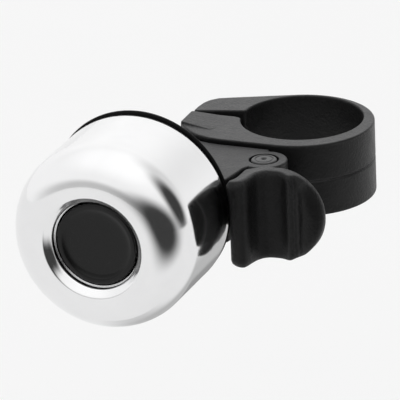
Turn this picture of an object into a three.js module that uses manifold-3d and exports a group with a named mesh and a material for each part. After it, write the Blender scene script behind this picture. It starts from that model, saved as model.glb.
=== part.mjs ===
// Bicycle bell for a 22.2 mm handlebar: a spun aluminium gong on a black
// plastic bracket and clamp, rung by a sprung thumb lever with a hammer inside.
// Millimetres, +Z up, with the handlebar bore along Z. The gong faces -Y, which
// is the front, and the thumb pad is on the +X side. The part's origin is on
// the lower end face of the clamp band, in the wall in front of the bore. The
// shapes are drawn about the centre of the bore, at half the clamp's height,
// and the last lines move the whole bell to its origin.
import * as THREE from "three";
import { mergeVertices } from "three/addons/utils/BufferGeometryUtils.js";
import Module from "manifold-3d";

const wasm = await Module();
wasm.setup();

// ---- driving dimensions ----
const BORE_R = 11.1; // handlebar bore, for a 22.2 mm bar
const CLAMP_H = 13.54; // clamp band height along the bar
const HALF_CLAMP = CLAMP_H / 2;
const ORIGIN = new THREE.Vector3(0, -12.6, -HALF_CLAMP); // from the bore's centre
const SEAM = 0.3; // moulding gap between separate plastic parts
const FIT = 0.05; // gap between stacked parts and hardware

const BAND_RX = 13.4; // outer radii of the band, across and along the gong axis
const BAND_RY = 13.15;
const BAND_X = 0.2; // centre of the outer oval: the wall is thicker in front
const BAND_Y = -1.28;
const BAND_FRONT = BAND_Y - BAND_RY;
const EAR_END = -20.3; // flat -X end of both clamp ears

const M3_R = 1.5;
const M3_HOLE_R = M3_R + 0.2;
const M3_LOOSE_R = M3_R + 0.1; // washer and nut
const M4_R = 1.95;
const M4_LOOSE_R = M4_R + 0.15; // the stack under the gong screw's head
const WASHER_T = 0.5;

const GONG_X = -18.87; // gong axis, along -Y at z = 0
const RIM_Y = -32.6; // depths along the gong's axis are measured from here
const PEG_XS = [-7.6, 5.5]; // locating pegs, from the gong axis

const TENON_X = [-8.0, -3.0]; // bracket tenon, in a socket in the clamp band
const TENON_HALF_H = 2.0;
const SOCKET_BACK = -12.6;
const TENON_FRONT = -16; // buried in the bracket

const PIVOT = new THREE.Vector2(0.2, -19.6); // lever pin
const PIN_R = 1.5;
const PIN_HEAD_SEAT = 5.1;
const HUB_R = 3.85;
const HUB_HALF_H = 3.3;
const WINDOW_X = -11.4; // -X side of the hammer arm's window
const WINDOW_HALF_H = 2.8;
const PAST = 9; // cutters run this far, past the bracket and the lever

// ---- finishes ----
const PLASTIC = { color: 0x1b1b1d, roughness: 0.55, metalness: 0.0 };
const STEEL = { color: 0x9a9ca0, roughness: 0.35, metalness: 1.0 };
const ALUMINIUM = { color: 0xdfe1e4, roughness: 0.22, metalness: 1.0 };
const PALE_PLASTIC = { color: 0xd8d4c8, roughness: 0.6, metalness: 0.0 };
const GLOSS_BLACK = { color: 0x0d0d0f, roughness: 0.25, metalness: 0.0 };
const BRASS = { color: 0xb8923e, roughness: 0.35, metalness: 1.0 };
const DARK_METAL = { color: 0x2a2a2d, roughness: 0.45, metalness: 0.6 };

// ---- placing ----
const move = (x, y, z) => new THREE.Matrix4().makeTranslation(x, y, z);
const turnX = (angle) => new THREE.Matrix4().makeRotationX(angle);
const turnZ = (angle) => new THREE.Matrix4().makeRotationZ(angle);
const QUARTER = Math.PI / 2;
const Y_TO_Z = turnX(QUARTER); // also takes +Z to -Y
const Z_TO_Y = turnX(-QUARTER);

const CLAMP_SCREW_X = -16.3;
const CLAMP_SCREW_AXIS = move(CLAMP_SCREW_X, 0, 0).multiply(Z_TO_Y);
const GONG_AXIS = move(GONG_X, RIM_Y, 0).multiply(Y_TO_Z);
const AT_PIVOT = move(PIVOT.x, PIVOT.y, 0);
const FROM_PIVOT = move(-PIVOT.x, -PIVOT.y, 0); // bore frame to lever frame

// ---- solids ----
// A fresh closed geometry as a manifold solid facing outward, moved by a matrix.
function solid(geometry, matrix = new THREE.Matrix4()) {
  const bare = new THREE.BufferGeometry();
  bare.setAttribute("position", geometry.getAttribute("position"));
  bare.setIndex(geometry.index);
  bare.applyMatrix4(matrix);
  const merged = mergeVertices(bare, 1e-4);
  const points = merged.getAttribute("position").array;
  const index = merged.index.array;
  const triangles = [];
  const corners = [0, 1, 2].map(() => new THREE.Vector3());
  let volume = 0;
  for (let i = 0; i < index.length; i += 3) {
    const triangle = [index[i], index[i + 1], index[i + 2]];
    if (new Set(triangle).size < 3) continue;
    triangles.push(triangle);
    corners.forEach((corner, k) => corner.fromArray(points, triangle[k] * 3));
    volume += corners[0].dot(corners[1].cross(corners[2]));
  }
  if (volume < 0) triangles.forEach((triangle) => triangle.reverse());
  return new wasm.Manifold(
    new wasm.Mesh({
      numProp: 3,
      vertProperties: Float32Array.from(points),
      triVerts: Uint32Array.from(triangles.flat()),
    }),
  );
}

const cut = (body, ...tools) => tools.reduce((rest, tool) => rest.subtract(tool), body);

const shapeOf = (points) => new THREE.Shape(points.map(([x, y]) => new THREE.Vector2(x, y)));

// An outline in XY, pulled up from z0 to z1, with an optional small bevel.
function prism(points, z0, z1, { bevel = 0, matrix = new THREE.Matrix4() } = {}) {
  const geometry = new THREE.ExtrudeGeometry(shapeOf(points), {
    depth: z1 - z0 - 2 * bevel,
    bevelEnabled: bevel > 0,
    bevelThickness: bevel,
    bevelSize: bevel,
    bevelOffset: -bevel,
    bevelSegments: 1,
  });
  return solid(geometry, matrix.clone().multiply(move(0, 0, z0 + bevel)));
}

// A profile of [radius, height] turned round +Z.
function turned(profile, segments, matrix = new THREE.Matrix4()) {
  const points = profile.map(([radius, height]) => new THREE.Vector2(radius, height));
  const geometry = new THREE.LatheGeometry(points, segments);
  return solid(geometry, matrix.clone().multiply(Y_TO_Z));
}

// A plain washer or tube round +Z.
function ring(inner, outer, z0, z1) {
  return turned([[inner, z0], [outer, z0], [outer, z1], [inner, z1], [inner, z0]], 32);
}

// A round bar on +Z.
function bar(radius, z0, z1, segments, matrix = new THREE.Matrix4()) {
  const geometry = new THREE.CylinderGeometry(radius, radius, z1 - z0, segments);
  const middle = move(0, 0, (z0 + z1) / 2);
  return solid(geometry, matrix.clone().multiply(middle).multiply(Y_TO_Z));
}

function hexBar(acrossFlats, z0, z1, matrix) {
  return bar(acrossFlats / Math.sqrt(3), z0, z1, 6, matrix);
}

function nut(acrossFlats, boreRadius, z0, z1, matrix) {
  return hexBar(acrossFlats, z0, z1, matrix).subtract(bar(boreRadius, z0 - 2, z1 + 2, 24));
}

// A screw along Z with a hexagonal socket. The head is a list of [radius,
// height above the seat], and the socket's floor is also a height above it.
function socketScrew({ radius, tip, tipRadius, chamfer, seat, head, socketRadius, floor }) {
  const profile = [
    [0, tip],
    [tipRadius, tip],
    [radius, tip + chamfer],
    [radius, seat],
    ...head.map(([headRadius, height]) => [headRadius, seat + height]),
  ];
  return turned(profile, 32).subtract(bar(socketRadius, seat + floor, seat + 5, 6));
}

function block([x0, x1], [y0, y1], [z0, z1]) {
  return solid(
    new THREE.BoxGeometry(x1 - x0, y1 - y0, z1 - z0),
    move((x0 + x1) / 2, (y0 + y1) / 2, (z0 + z1) / 2),
  );
}

// Points on an arc, in degrees: a circle, or an oval if ry is given.
function arc(x, y, r, from, to, steps, ry = r) {
  return Array.from({ length: steps + 1 }, (_, i) => {
    const angle = ((from + ((to - from) * i) / steps) * Math.PI) / 180;
    return [x + r * Math.cos(angle), y + ry * Math.sin(angle)];
  });
}

// An open polyline moved sideways, to its left when the distance is positive.
function beside(points, distance) {
  return points.map(([x, y], i) => {
    const before = points[Math.max(i - 1, 0)];
    const after = points[Math.min(i + 1, points.length - 1)];
    const dx = after[0] - before[0];
    const dy = after[1] - before[1];
    const length = Math.hypot(dx, dy);
    return [x - (dy / length) * distance, y + (dx / length) * distance];
  });
}

// A map from (distance along, distance to the left) of a direction to [x, y],
// for a line that starts at the given offset to the left of zero.
function lineFrame(direction, offset = 0) {
  return (ahead, left) => [
    direction.x * ahead - direction.y * (offset + left),
    direction.y * ahead + direction.x * (offset + left),
  ];
}

// A rectangle in a line's frame.
function lineBox(at, from, to, halfWidth) {
  return [at(from, -halfWidth), at(to, -halfWidth), at(to, halfWidth), at(from, halfWidth)];
}

function addPiece(parent, name, body, finish) {
  const { vertProperties, triVerts } = body.getMesh();
  const geometry = new THREE.BufferGeometry();
  geometry.setAttribute(
    "position",
    new THREE.BufferAttribute(Float32Array.from(vertProperties), 3),
  );
  geometry.setIndex(new THREE.BufferAttribute(Uint32Array.from(triVerts), 1));
  const mesh = new THREE.Mesh(geometry, new THREE.MeshStandardMaterial(finish));
  mesh.name = name;
  parent.add(mesh);
}

// ---- clamp band ----
// Front of the front jaw in plan, [x, y] from the ear end to the middle.
const JAW_FRONT = [
  [EAR_END, -8.4], [-18.7, -10.3], [-16.9, -12.1], [-15.6, -13.0],
  [-14.3, -13.65], [-12.4, -14.2], [-10.0, BAND_FRONT],
];
// Back of the back ear, [x, y] from the oval to the ear end.
const EAR_BACK = [
  [-11.3, 8.2], [-13.0, 7.4], [-16.4, 6.1], [-18.0, 5.3],
  [-19.4, 3.9], [-19.95, 2.7], [EAR_END, 0.7],
];
// Low raised pad on top of the front ear, [x, y].
const EAR_PAD = [
  [EAR_END + 0.1, -3.4], [EAR_END + 0.1, -8.7], [-13.7, -10.2], [-11.6, -6.4], [-12.2, -3.3],
];
// Split between the ears, [x, y]: narrow at the ear end, wider at the bore.
const EAR_SPLIT = [
  [-22, -2.1], [-20.4, -2.1], [-12.0, 0.1], [-9.0, 0.9],
  [-9.0, -3.5], [-12.0, -2.8], [-20.4, -2.95], [-22, -2.95],
];
const SCREW_SEAT_Y = 3.6; // spot face in the back ear
const SPOT_FACE_R = 3.4;

function clampBand() {
  const outline = [
    ...arc(BAND_X, BAND_Y, BAND_RX, -90, 112, 38, BAND_RY),
    ...EAR_BACK,
    ...JAW_FRONT,
  ];
  const past = HALF_CLAMP + 2;
  const socketHalf = TENON_HALF_H + SEAM;
  const socketX = [TENON_X[0] - SEAM, TENON_X[1] + SEAM];
  return cut(
    prism(outline, -HALF_CLAMP, HALF_CLAMP, { bevel: 0.35 }).add(
      prism(EAR_PAD, HALF_CLAMP - 0.5, HALF_CLAMP + 0.3),
    ),
    prism(EAR_SPLIT, -past, past),
    bar(BORE_R, -past, past, 64),
    bar(M3_HOLE_R, -30, 20, 24, CLAMP_SCREW_AXIS),
    bar(SPOT_FACE_R, SCREW_SEAT_Y, 20, 32, CLAMP_SCREW_AXIS),
    block(socketX, [TENON_FRONT, SOCKET_BACK], [-socketHalf, socketHalf]),
  );
}

// ---- clamp hardware, along the screw: local +Z is world +Y ----
const CLAMP_WASHER_Z = SCREW_SEAT_Y + FIT;
const M3_FLATS = 5.5;

const clampWasher = () => ring(M3_LOOSE_R, 3.1, CLAMP_WASHER_Z, CLAMP_WASHER_Z + WASHER_T);

function clampScrew() {
  return socketScrew({
    radius: M3_R,
    tip: -17.8,
    tipRadius: 1.1,
    chamfer: 0.4,
    seat: CLAMP_WASHER_Z + WASHER_T + FIT,
    head: [[2.8, 0], [2.8, 1.2], [2.3, 1.9], [1.3, 2.25], [0, 2.3]],
    socketRadius: 1.15,
    floor: 0.9,
  });
}

const clampNut = () => nut(M3_FLATS, M3_LOOSE_R, -17.1, -14.7);

// ---- bracket ----
const BRACKET_HALF_H = 6.0;
const BRACKET_FRONT = -30.75;
const PLATE_INNER_Z = 3.6; // inner faces of the upper and lower plates
const BOSS_R = 4.2; // round the pin
const WEB_X = -0.5; // +X end of the edge against the clamp
// Front and -X edge in plan, [x, y] from the boss round to the jaw.
const BRACKET_EDGE = [
  [PIVOT.x - 1.75, PIVOT.y - 3.85], [-1.9, -24.8], [-2.8, BRACKET_FRONT],
  [-31.2, BRACKET_FRONT], [-30.4, -27.0], [-21.9, -11.4],
];
// Hollow between the plates, [x, y], open at +X.
const BRACKET_HOLLOW = [
  [9, -16.9], [-10.4, -16.9], [-12.2, -15.9], [-20.9, -15.9], [-27.2, -27.3], [9, -27.3],
];

function bracket() {
  const outline = [
    ...beside(JAW_FRONT, -SEAM),
    [WEB_X, BAND_FRONT - SEAM],
    [WEB_X, PIVOT.y + 4.0],
    ...arc(PIVOT.x, PIVOT.y, BOSS_R, 88, -110, 26),
    ...BRACKET_EDGE,
  ];
  const tenon = block(
    TENON_X,
    [TENON_FRONT, SOCKET_BACK - SEAM],
    [-TENON_HALF_H, TENON_HALF_H],
  );
  return cut(
    prism(outline, -BRACKET_HALF_H, BRACKET_HALF_H, { bevel: 0.3 }).add(tenon),
    prism(BRACKET_HOLLOW, -PLATE_INNER_Z, PLATE_INNER_Z),
    bar(HUB_R + 0.35, -PLATE_INNER_Z, PLATE_INNER_Z, 32, AT_PIVOT), // room for the hub
    bar(PIN_R + 0.12, -PAST, PAST, 28, AT_PIVOT),
    bar(2.7, PIN_HEAD_SEAT, PAST, 32, AT_PIVOT),
    bar(M3_HOLE_R, -22, -6, 24, CLAMP_SCREW_AXIS),
    hexBar(M3_FLATS + 0.35, -18, -14.6, CLAMP_SCREW_AXIS), // nut pocket
    // Window through the front wall, open at +X, where the pressed arm swings.
    block([WINDOW_X, 3.0], [-32, -26], [-WINDOW_HALF_H, WINDOW_HALF_H]),
    bar(M4_R + 0.2, -9, 0, 24, GONG_AXIS),
    ...PEG_XS.map((x) => bar(1.45, -5.0, 0, 20, move(x, 0, 0).multiply(GONG_AXIS))),
  );
}

// ---- gong and base plate, along the gong axis: local +Z is world -Y ----
const GONG_R = 16.92; // outside of the dome
const GONG_WALL = 1.15;
const GONG_INNER_R = GONG_R - GONG_WALL;
const GONG_DEPTH = 20.75; // RIM_Y to the front edge of the dome
const SKIRT = 1.0; // how far the skirt reaches behind RIM_Y
const SHOULDER_Z = 13.7; // where the straight skirt ends
const SHOULDER_TOP_R = 9.9;
const WEB_BACK = 14.2; // floor of the cap's pocket
const WEB_FRONT = 15.4;
const WEB_HOLE_R = 3.0;
const WEB_R = 7.4;

const PLATE_R = 17.5;
const PLATE_BACK = -1.65;
const PLATE_FRONT = -0.3;
const FLANGE_FRONT = PLATE_BACK + 0.45; // thin flange behind the gong's edge
const PLATE_HOLE_R = M4_R + 0.25;
const STIFFENER = { inner: 13.7, outer: 15.1, front: 0.9 };

const BUSH_BACK = WEB_BACK - FIT - 0.8;
const GONG_WASHER_Z = WEB_FRONT + FIT;
const CAP_R = 7.55;
const CAP_FACE = 19.0; // cap face ahead of RIM_Y

// Base plate with a stiffening ring, the hammer window and two pegs.
function basePlate() {
  const profile = [
    [PLATE_HOLE_R, PLATE_BACK],
    [PLATE_R, PLATE_BACK],
    [PLATE_R, FLANGE_FRONT],
    [STIFFENER.outer, FLANGE_FRONT],
    [STIFFENER.outer, STIFFENER.front],
    [STIFFENER.inner, STIFFENER.front],
    [STIFFENER.inner, PLATE_FRONT],
    [PLATE_HOLE_R, PLATE_FRONT],
    [PLATE_HOLE_R, PLATE_BACK],
  ];
  let plate = turned(profile, 60);
  for (const x of PEG_XS) plate = plate.add(bar(1.3, -4.2, -1.0, 20, move(x, 0, 0)));
  const windowX = [WINDOW_X - GONG_X, -3.6 - GONG_X];
  return plate.subtract(block(windowX, [-WINDOW_HALF_H, WINDOW_HALF_H], [-6, 3]));
}

// A point on the dome's shoulder, at a part of the quarter turn from the skirt.
function shoulderPoint(part, inset) {
  const angle = part * QUARTER;
  return [
    SHOULDER_TOP_R + (GONG_R - inset - SHOULDER_TOP_R) * Math.cos(angle),
    SHOULDER_Z + (GONG_DEPTH - inset - SHOULDER_Z) * Math.sin(angle),
  ];
}

// Spun dome: straight skirt, full shoulder, a step, and a pocket for the cap.
function gong() {
  const profile = [
    [GONG_R, -SKIRT],
    [GONG_R, SHOULDER_Z],
    ...[1, 2, 3, 4, 5, 6, 7, 8].map((i) => shoulderPoint(i / 8, 0)),
    // Step and pocket, from the outside.
    [9.3, 20.68], [9.0, 20.4], [8.35, 19.5], [8.05, 18.9], [8.02, 18.3],
    [7.9, 18.45], [7.78, 18.3], [7.78, 15.8],
    [WEB_R, WEB_FRONT], [WEB_HOLE_R, WEB_FRONT], [WEB_HOLE_R, WEB_BACK], [WEB_R, WEB_BACK],
    // Back of the pocket and step, from the inside.
    [8.3, 14.6], [8.65, 15.2], [8.65, 17.6], [9.2, 18.6], [10.0, 19.45],
    ...[5, 4, 3, 2, 1].map((i) => shoulderPoint(i / 6, GONG_WALL)),
    [GONG_INNER_R, SHOULDER_Z],
    [GONG_INNER_R, -SKIRT],
    [GONG_R, -SKIRT],
  ];
  return turned(profile, 64);
}

const gongSpacer = () => ring(M4_LOOSE_R, 3.6, PLATE_FRONT + FIT, BUSH_BACK - FIT);

// Bush with a flange behind the gong's web and a neck through its hole.
function gongBush() {
  const neck = { radius: WEB_HOLE_R - 0.15, front: WEB_FRONT - 0.1 };
  const profile = [
    [M4_LOOSE_R, BUSH_BACK],
    [5.0, BUSH_BACK],
    [5.0, WEB_BACK - FIT],
    [neck.radius, WEB_BACK - FIT],
    [neck.radius, neck.front],
    [M4_LOOSE_R, neck.front],
    [M4_LOOSE_R, BUSH_BACK],
  ];
  return turned(profile, 32);
}

const gongWasher = () => ring(M4_LOOSE_R, 4.4, GONG_WASHER_Z, GONG_WASHER_Z + WASHER_T);

function gongScrew() {
  return socketScrew({
    radius: M4_R,
    tip: -8.2,
    tipRadius: 1.5,
    chamfer: 0.5,
    seat: GONG_WASHER_Z + WASHER_T + FIT,
    head: [[3.6, 0], [3.6, 0.9], [3.0, 1.5], [1.6, 1.75], [0, 1.8]],
    socketRadius: 1.4,
    floor: 0.4,
  });
}

const gongNut = () => nut(7.0, M4_R + 0.1, -8.5, -5.35, turnZ(Math.PI / 6));

// Cap with a hollow over the screw head and a slightly dished face.
function gongCap() {
  const profile = [
    [0, 18.0], [4.9, 18.0], [5.2, 17.7], [5.2, 15.55], [7.25, 15.55], [CAP_R, 15.85],
    [CAP_R, CAP_FACE - 0.5], [7.05, CAP_FACE], [6.7, CAP_FACE],
    [6.0, CAP_FACE - 0.35], [0, CAP_FACE - 0.5],
  ];
  return turned(profile, 48);
}

// ---- thumb lever, about the pivot pin ----
// Pad in plan, [x, y] from the bore's centre: one thick ridge beside the gong,
// then shallow flutes with two low ribs, and an edge that rolls back.
const PAD_PLAN = [
  [-1.15, -28.0], [-1.15, -32.9], [-0.75, -34.0], [0.2, -34.6], [1.1, -34.75],
  [1.9, -34.4], [2.4, -33.5], [2.7, -32.2], [3.2, -30.8], [4.2, -29.9],
  [5.6, -29.6], [7.0, -29.65], [8.0, -30.0], [8.8, -30.35], [9.4, -30.1],
  [9.9, -29.7], [10.5, -29.8], [11.3, -30.3], [12.2, -30.3], [13.2, -30.0],
  [14.2, -29.4], [14.7, -28.7], [14.7, -28.0], [14.0, -27.5], [8.0, -27.5],
  [0.0, -27.5],
];
// Pad seen from the front, [x, z] from the bore's centre, round at +X.
const PAD_FACE = [
  [-1.5, 6.4], [0.8, 7.35], [2.6, 7.85], [4.4, 8.1],
  ...arc(6.4, -0.25, 8.35, 90, -78, 22),
  [6.4, -8.4], [4.6, -8.45], [3.2, -8.6], [1.6, -8.95],
  [0.2, -8.95], [-0.8, -8.6], [-1.5, -7.6],
];
// Neck from the hub to the pad, [x, y] from the bore's centre.
const NECK = [[3.4, -17.9], [-0.6, -23.0], [0.6, -28.2], [9.2, -28.2]];

const ARM_DIR = new THREE.Vector2(-0.66, -0.7513); // from pivot to hammer side
const armAt = lineFrame(ARM_DIR);
const RIVET_AT = 5.5; // rivet distance from the pivot
const RIVET_AXIS = move(...armAt(RIVET_AT, 0), 0) // +Z across the arm
  .multiply(turnZ(Math.atan2(ARM_DIR.x, -ARM_DIR.y) - QUARTER))
  .multiply(Z_TO_Y);

const COIL_R = 2.3; // torsion spring, to the middle of the wire
const SPRING_POCKET_TOP = -0.5;
const legAt = lineFrame(new THREE.Vector2(0.57, -0.8216), COIL_R); // moving leg

function thumbLever() {
  const faceAt = move(-PIVOT.x, -25 - PIVOT.y, 0).multiply(Y_TO_Z);
  const pad = prism(PAD_PLAN, -10, 10, { matrix: FROM_PIVOT }).intersect(
    prism(PAD_FACE, 0, 12, { matrix: faceAt }),
  );
  const body = pad
    .add(bar(HUB_R, -HUB_HALF_H, HUB_HALF_H, 32))
    .add(prism(NECK, -HUB_HALF_H, HUB_HALF_H, { matrix: FROM_PIVOT }))
    .add(prism(lineBox(armAt, 1, 7.3, 1.7), -2.4, 2.4)); // stub for the hammer arm
  return cut(
    body,
    prism(lineBox(armAt, 3.4, 9, 0.5), -3.2, 3.2), // slot for the arm
    bar(0.85, -6, 6, 20, RIVET_AXIS),
    bar(PIN_R + 0.08, -PAST, PAST, 32),
    // Spring pocket under the hub, open to the back, and the moving leg's slot.
    bar(3.05, -PAST, SPRING_POCKET_TOP, 32),
    block([-6, 0.3], [0.9, 6], [-PAST, SPRING_POCKET_TOP]),
    prism(lineBox(legAt, -0.5, 6.6, 0.6), -PAST, -0.9),
  );
}

// ---- hammer ----
const HAMMER = new THREE.Vector2(-11.5, -42.6).sub(PIVOT);
const HAMMER_R = 2.3;
const ARM_HALF_T = 0.22;
const ARM_HALF_H = 1.5;

// Hammer arm: a strip of spring steel, clinched in the stub.
function hammerArm() {
  const stations = [
    armAt(4.0, 0),
    armAt(7.2, 0),
    [-7.6, -9.3],
    [-10.3, -15.0],
    [HAMMER.x, HAMMER.y + 4],
    [HAMMER.x, HAMMER.y + 0.6],
  ].map(([x, y]) => new THREE.Vector3(x, y, 0));
  const curve = new THREE.CatmullRomCurve3(stations, false, "centripetal");
  const strip = curve.getPoints(22).map(({ x, y }) => [x, y]);
  const outline = [...beside(strip, ARM_HALF_T), ...beside(strip, -ARM_HALF_T).reverse()];
  return prism(outline, -ARM_HALF_H, ARM_HALF_H).subtract(bar(0.95, -2, 2, 20, RIVET_AXIS));
}

function armRivet() {
  const profile = [
    [0, -2.25], [1.0, -2.25], [1.4, -1.95], [1.4, -1.75], [0.78, -1.75],
    [0.78, 1.75], [1.4, 1.75], [1.4, 1.95], [1.0, 2.25], [0, 2.25],
  ];
  return turned(profile, 20, RIVET_AXIS);
}

// Hammer: a small upright drum with a slot for the arm.
function hammer() {
  const profile = [
    [0, -2.8], [1.7, -2.8], [2.15, -2.5], [HAMMER_R, -2.0],
    [HAMMER_R, 2.0], [2.15, 2.5], [1.7, 2.8], [0, 2.8],
  ];
  const slot = block(
    [HAMMER.x - 0.3, HAMMER.x + 0.3],
    [HAMMER.y + 0.3, HAMMER.y + 4],
    [-ARM_HALF_H - 0.2, ARM_HALF_H + 0.2],
  );
  return turned(profile, 28, move(HAMMER.x, HAMMER.y, 0)).subtract(slot);
}

// ---- pivot hardware ----
// Pivot pin with a low dimpled head.
function leverPin() {
  const seat = PIN_HEAD_SEAT + FIT;
  const profile = [
    [0, -7.3], [1.2, -7.3], [PIN_R, -7.0], [PIN_R, seat], [2.35, seat],
    [2.35, 5.85], [2.1, 6.1], [0.8, 6.15], [0.5, 5.8], [0, 5.7],
  ];
  return turned(profile, 32);
}

// Push-on clip below the bracket, split at +X.
function pinClip() {
  return ring(PIN_R + 0.06, 3.1, -6.6, -6.08).subtract(
    block([1.2, 4], [-0.45, 0.45], [-8, -5]),
  );
}

// Torsion spring round the pin: one leg on the bracket's back wall, the other
// in the lever's slot. The wire has a hexagonal section.
function torsionSpring() {
  const wireRadius = 0.3;
  const pitch = 0.72;
  const bottom = -2.95;
  const start = 90; // degrees
  const end = 34.8 - 720;
  const steps = 40;
  const rise = (pitch * (start - end)) / 360;
  const path = [
    [-6.6, COIL_R, bottom],
    [-3.4, COIL_R, bottom],
    ...arc(0, 0, COIL_R, start, end, steps).map(([x, y], i) => [
      x,
      y,
      bottom + (rise * i) / steps,
    ]),
    [...legAt(2.4, 0), bottom + rise],
    [...legAt(5.6, 0), bottom + rise],
  ].map((point) => new THREE.Vector3(...point));
  const wire = new THREE.ExtrudeGeometry(shapeOf(arc(0, 0, wireRadius, 0, 300, 5)), {
    steps: 70,
    bevelEnabled: false,
    extrudePath: new THREE.CatmullRomCurve3(path, false, "centripetal"),
  });
  return solid(wire);
}

// ---- assembly ----
function addGroup(parent, x = 0, y = 0, turn = 0) {
  const group = new THREE.Group();
  group.position.set(x, y, 0);
  group.rotation.x = turn;
  parent.add(group);
  return group;
}

const part = new THREE.Group();
const bell = addGroup(part); // drawn about the centre of the bore
bell.position.copy(ORIGIN).negate();

const clamp = addGroup(bell);
addPiece(clamp, "clamp_band", clampBand(), PLASTIC);
const clampHardware = addGroup(clamp, CLAMP_SCREW_X, 0, -QUARTER);
addPiece(clampHardware, "clamp_washer", clampWasher(), STEEL);
addPiece(clampHardware, "clamp_screw", clampScrew(), STEEL);
addPiece(clampHardware, "clamp_nut", clampNut(), STEEL);

addPiece(bell, "bracket", bracket(), PLASTIC);

const head = addGroup(bell, GONG_X, RIM_Y, QUARTER);
addPiece(head, "base_plate", basePlate(), PLASTIC);
addPiece(head, "gong", gong(), ALUMINIUM);
addPiece(head, "gong_spacer", gongSpacer(), PLASTIC);
addPiece(head, "gong_bush", gongBush(), PALE_PLASTIC);
addPiece(head, "gong_washer", gongWasher(), STEEL);
addPiece(head, "gong_screw", gongScrew(), STEEL);
addPiece(head, "gong_nut", gongNut(), STEEL);
addPiece(head, "gong_cap", gongCap(), GLOSS_BLACK);

const lever = addGroup(bell, PIVOT.x, PIVOT.y);
addPiece(lever, "thumb_lever", thumbLever(), PLASTIC);
addPiece(lever, "hammer_arm", hammerArm(), STEEL);
addPiece(lever, "arm_rivet", armRivet(), STEEL);
addPiece(lever, "hammer", hammer(), BRASS);
addPiece(lever, "lever_pin", leverPin(), DARK_METAL);
addPiece(lever, "pin_clip", pinClip(), STEEL);
addPiece(lever, "torsion_spring", torsionSpring(), STEEL);

export default part;
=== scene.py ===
import math

import bmesh
import bpy
import numpy as np
from mathutils import Matrix, Vector


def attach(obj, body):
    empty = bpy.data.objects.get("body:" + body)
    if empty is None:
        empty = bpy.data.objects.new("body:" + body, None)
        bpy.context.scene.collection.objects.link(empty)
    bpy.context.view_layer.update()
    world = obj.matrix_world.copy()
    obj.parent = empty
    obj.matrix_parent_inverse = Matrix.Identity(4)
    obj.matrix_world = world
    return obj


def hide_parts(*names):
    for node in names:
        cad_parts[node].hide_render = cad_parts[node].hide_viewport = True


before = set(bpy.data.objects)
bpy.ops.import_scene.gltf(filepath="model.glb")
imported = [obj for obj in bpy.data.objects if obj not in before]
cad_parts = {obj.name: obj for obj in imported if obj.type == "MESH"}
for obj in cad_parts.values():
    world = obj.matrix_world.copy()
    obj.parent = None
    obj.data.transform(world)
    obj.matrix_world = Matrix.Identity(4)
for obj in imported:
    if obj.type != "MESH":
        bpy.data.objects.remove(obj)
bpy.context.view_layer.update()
SCENE = bpy.context.scene
MM = 0.001

# ------------------------------------------------------------ shared dimensions

# All in millimetres, from the centre of the handlebar bore at half the clamp's height.
CLAMP_TOP = 6.77
ORIGIN = Vector((0, -12.6, -CLAMP_TOP))  # the part's own origin, level with the clamp's lower face

CLAMP_X = -16.3  # clamp screw axis, along Y
SCREW_HOLE_R = 1.7
BORE_R = 11.1
# Where the clamp meets the bracket: (x, y).
JAW = [
    (-20.3, -8.4), (-18.7, -10.3), (-16.9, -12.1), (-15.6, -13.0),
    (-14.3, -13.65), (-12.4, -14.2), (-10.0, -14.43),
]

GONG_X = -18.87  # gong axis, along Y
RIM_Y = -32.6  # heights along the gong are counted from here towards -Y
GONG_R = 16.92
GONG_WALL = 1.15
PEG_X = (-26.47, -13.37)  # base plate pegs in the bracket

PIVOT = (0.2, -19.6)  # lever pin axis, along Z
ARM_DIR = (-0.66, -0.7513)  # from the pin along the root of the hammer arm
ARM_SIDE = (-ARM_DIR[1], ARM_DIR[0])
RIVET_ALONG = 5.5  # arm rivet's distance from the pin
LEG_DIR = (0.57, -0.8216)  # from the pin along the spring's upper leg
HAMMER = (-11.5, -42.6)


# ------------------------------------------------------------ places

# Each gives (x, y, z) for two offsets across an axis and a distance along it.


def along_y(x0, z0=0):
    return lambda u, v, y: (x0 + u, y, z0 + v)


def along_z(x0=0, y0=0):
    return lambda u, v, z: (x0 + u, y0 + v, z)


def from_rim(x0):
    return lambda u, v, height: (x0 + u, RIM_Y - height, v)


clamp_at = along_y(CLAMP_X)
gong_at = from_rim(GONG_X)
pin_at = along_z(*PIVOT)


def rivet_at(u, v, across):
    """On the arm rivet's axis, which lies across the arm."""
    x = PIVOT[0] + ARM_DIR[0] * RIVET_ALONG
    y = PIVOT[1] + ARM_DIR[1] * RIVET_ALONG
    return (x + ARM_SIDE[0] * across + ARM_DIR[0] * u, y + ARM_SIDE[1] * across + ARM_DIR[1] * u, v)


# ------------------------------------------------------------ outlines


def with_radius(points, radius):
    return [(x, y, radius) for x, y in points]


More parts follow.
